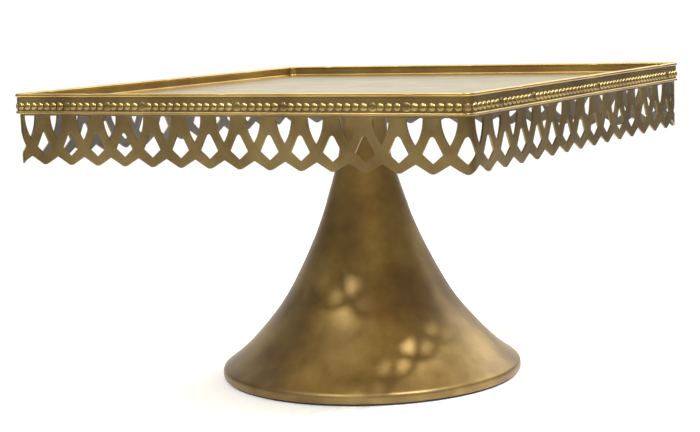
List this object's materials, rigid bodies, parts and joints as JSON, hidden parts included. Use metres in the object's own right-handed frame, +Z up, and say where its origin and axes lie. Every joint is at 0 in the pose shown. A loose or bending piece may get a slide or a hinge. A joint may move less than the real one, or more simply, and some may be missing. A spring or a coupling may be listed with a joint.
{
  "type": "cake stand",
  "caption": "Square metal cake stand: shallow tray with rolled rim, beaded band and pierced arch skirt, screwed onto a hollow spun trumpet foot.",
  "frame": {"origin": "on the table under the middle of the foot", "axes": "+Z up the stem; X and Y square to the sides of the tray"},
  "size_m": [0.3066, 0.3066, 0.1878],
  "materials": {
    "gold_finish": "satin antique gold plating",
    "tray_gold": "bright satin gold plating",
    "bare_steel": "plain zinc plated",
    "edging": "matt black"
  },
  "bodies": {
    "foot": {"trumpet_foot": "gold_finish", "top_flange": "bare_steel", "weld_nut": "bare_steel", "base_ring": "edging"},
    "washer": {"seat_washer": "edging"},
    "tray": {"tray": "tray_gold", "beaded_band_front": "gold_finish", "beaded_band_right": "gold_finish", "beaded_band_back": "gold_finish", "beaded_band_left": "gold_finish", "corner_beads": "gold_finish", "pierced_skirt_front": "gold_finish", "pierced_skirt_right": "gold_finish", "pierced_skirt_back": "gold_finish", "pierced_skirt_left": "gold_finish", "mounting_plate": "bare_steel", "threaded_stud": "bare_steel"}
  },
  "joints": [
    {"name": "tray_turn", "type": "hinge", "parent": "foot", "child": "washer", "pos_m": [0, 0, 0.1776], "axis": [0, 0, 1], "range_deg": [0, 2205]},
    {"name": "tray_rise", "type": "slide", "parent": "washer", "child": "tray", "axis": [0, 0, 1], "range_m": [0, 0.00766]}
  ],
  "couplings": [
    {"joint": "tray_rise", "follows": "tray_turn", "m_per_rad": 0.00019894}
  ]
}
